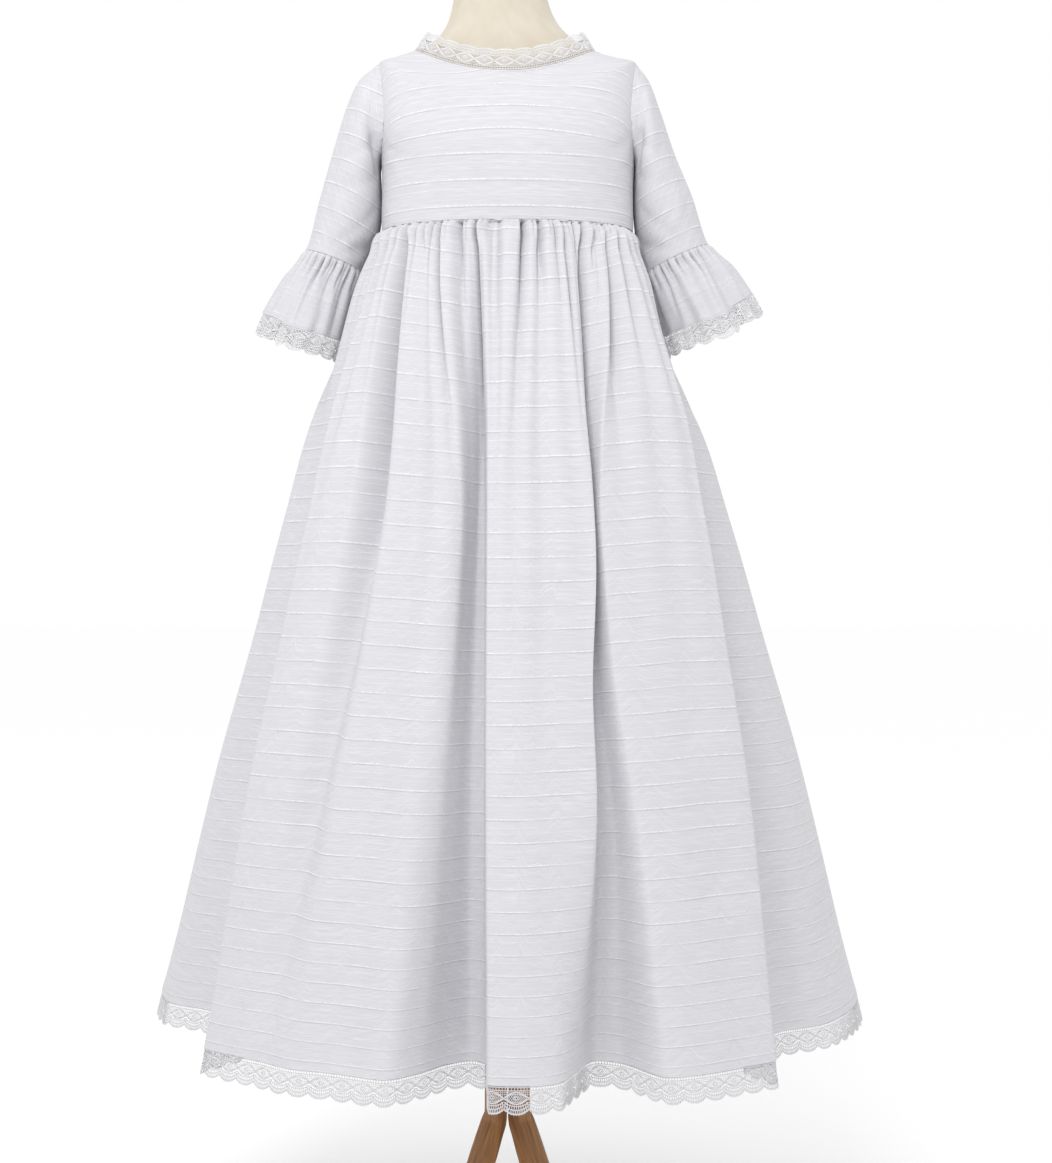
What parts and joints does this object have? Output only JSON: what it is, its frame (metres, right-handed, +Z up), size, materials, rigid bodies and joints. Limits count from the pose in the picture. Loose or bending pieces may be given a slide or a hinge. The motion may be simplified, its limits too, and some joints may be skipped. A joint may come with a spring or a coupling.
{
  "type": "child's communion dress on a limbless dress form",
  "caption": "Child's white communion dress with gathered bell skirt, flared elbow sleeves and scalloped lace at collar, cuffs and hem, standing on a limbless form with curved wooden legs.",
  "frame": {"origin": "on the floor under the pole, which is the middle of the object's base", "axes": "+Z is up, the dress faces -Y, and +X is on the right of someone who looks at its front"},
  "size_m": [0.7633, 0.7903, 1.451],
  "materials": {
    "voile": "thin white cotton voile with fine raised horizontal ribs",
    "lace": "white scalloped cotton lace with openwork",
    "form_cloth": "plain cream cotton jersey, stretched smooth",
    "wood": "mid-brown stained wood with a soft sheen"
  },
  "bodies": {
    "root": {"bodice_front": "voile", "bodice_back_left": "voile", "bodice_back_right": "voile", "sleeve_left": "voile", "sleeve_right": "voile", "sleeve_ruffle_left": "voile", "sleeve_ruffle_right": "voile", "skirt_front": "voile", "skirt_back_left": "voile", "skirt_back_right": "voile", "collar_lace": "lace", "sleeve_lace_left": "lace", "sleeve_lace_right": "lace", "hem_lace_front": "lace", "hem_lace_back": "lace", "form_body": "form_cloth", "base_plate": "wood", "pole": "wood", "leg_hub": "wood", "leg_front_right": "wood", "leg_front_left": "wood", "leg_back_right": "wood", "leg_back_left": "wood"}
  },
  "joints": []
}
